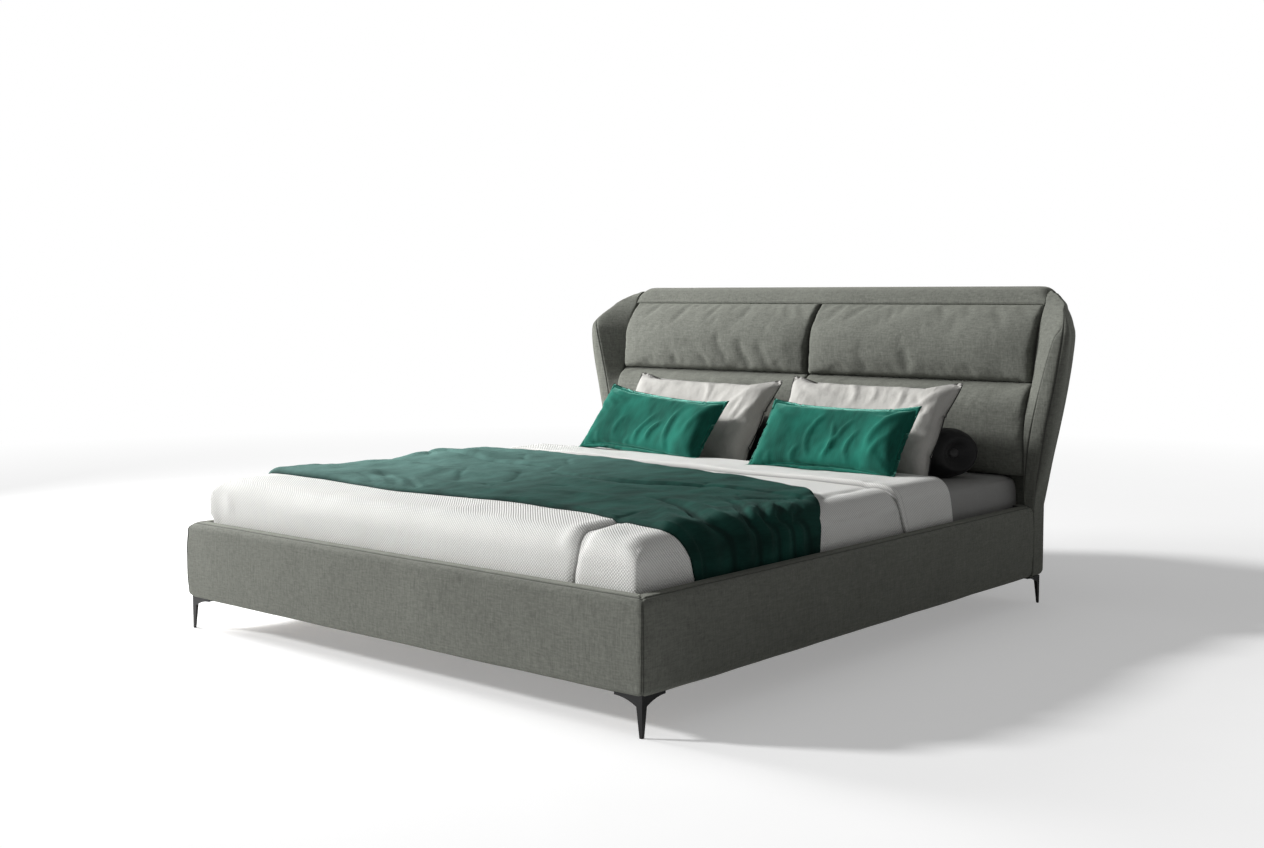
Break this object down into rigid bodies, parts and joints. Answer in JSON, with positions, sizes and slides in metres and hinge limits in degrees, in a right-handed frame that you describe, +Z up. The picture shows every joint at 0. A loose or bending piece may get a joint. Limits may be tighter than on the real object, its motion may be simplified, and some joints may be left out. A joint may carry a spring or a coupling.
{
  "type": "upholstered bed",
  "caption": "Upholstered double bed with a leaning winged headboard, slatted base and thin corner legs, dressed with a mattress, coverlet, throw, pillows and neck roll.",
  "frame": {"origin": "on the floor, under the middle of the whole bed", "axes": "+Y towards the headboard, +X to the right of somebody standing at the foot and facing the headboard, +Z up"},
  "size_m": [2.1632, 2.3563, 1.1232],
  "materials": {
    "upholstery": "grey-green woven melange upholstery",
    "back_cloth": "plain dark grey backing cloth",
    "foam": "pale open-cell padding",
    "board": "plain plywood",
    "timber": "planed softwood",
    "leg_steel": "satin black powder coat",
    "frame_steel": "matt black paint",
    "bolt_steel": "zinc-plated",
    "glide_plastic": "matt black",
    "foot_plastic": "matt black foot on a threaded stem",
    "tape": "woven webbing",
    "mattress_cloth": "knitted ticking",
    "sheet_cotton": "dark grey cotton",
    "coverlet_cotton": "pale textured cotton, lightly padded",
    "throw_velvet": "dark green velvet",
    "bolster_cloth": "black satin-like cloth",
    "button_cloth": "covered button",
    "pillow_linen": "pale linen with thin dark piping",
    "pillow_velvet": "green velvet"
  },
  "bodies": {
    "root": {"foot_rail_cover": "upholstery", "headboard_border": "upholstery", "side_rail_cover_right": "upholstery", "side_rail_cover_left": "upholstery", "upper_pad_right": "upholstery", "upper_pad_left": "upholstery", "lower_pad_right": "upholstery", "lower_pad_left": "upholstery", "wing_right": "upholstery", "wing_left": "upholstery", "headboard_back_cover": "back_cloth", "foot_rail_foam": "foam", "side_rail_foam_right": "foam", "side_rail_foam_left": "foam", "foot_rail_board": "board", "side_rail_board_right": "board", "side_rail_board_left": "board", "headboard_panel": "board", "headboard_back_board": "board", "wing_board_right": "board", "wing_board_left": "board", "head_cross_rail": "timber", "slat_ledge_right": "timber", "slat_ledge_left": "timber", "corner_block_right": "timber", "corner_block_left": "timber", "centre_beam": "timber", "slats": "timber", "headboard_post_right": "timber", "headboard_post_left": "timber", "headboard_top_rail": "timber", "headboard_middle_rail": "timber", "headboard_bottom_rail": "timber", "corner_leg_foot_right": "leg_steel", "corner_leg_foot_left": "leg_steel", "corner_leg_head_right": "leg_steel", "corner_leg_head_left": "leg_steel", "rail_hook_bracket_right": "frame_steel", "rail_hook_bracket_left": "frame_steel", "beam_hanger_foot": "frame_steel", "beam_hanger_head": "frame_steel", "centre_leg_1": "frame_steel", "centre_leg_2": "frame_steel", "leg_bolts": "bolt_steel", "frame_bolts": "bolt_steel", "leg_glides": "glide_plastic", "slat_tapes": "tape", "mattress": "mattress_cloth", "fitted_sheet": "sheet_cotton", "coverlet": "coverlet_cotton", "throw": "throw_velvet", "bolster": "bolster_cloth", "bolster_button_right": "button_cloth", "bolster_button_left": "button_cloth", "white_pillow_right": "pillow_linen", "white_pillow_left": "pillow_linen", "green_pillow_right": "pillow_velvet", "green_pillow_left": "pillow_velvet"},
    "levelling_foot_1": {"levelling_foot_1": "foot_plastic"},
    "levelling_foot_2": {"levelling_foot_2": "foot_plastic"}
  },
  "joints": [
    {"name": "foot_1_height", "type": "slide", "parent": "root", "child": "levelling_foot_1", "axis": [0, 0, 1], "range_m": [0, 0.015]},
    {"name": "foot_2_height", "type": "slide", "parent": "root", "child": "levelling_foot_2", "axis": [0, 0, 1], "range_m": [0, 0.015]}
  ]
}
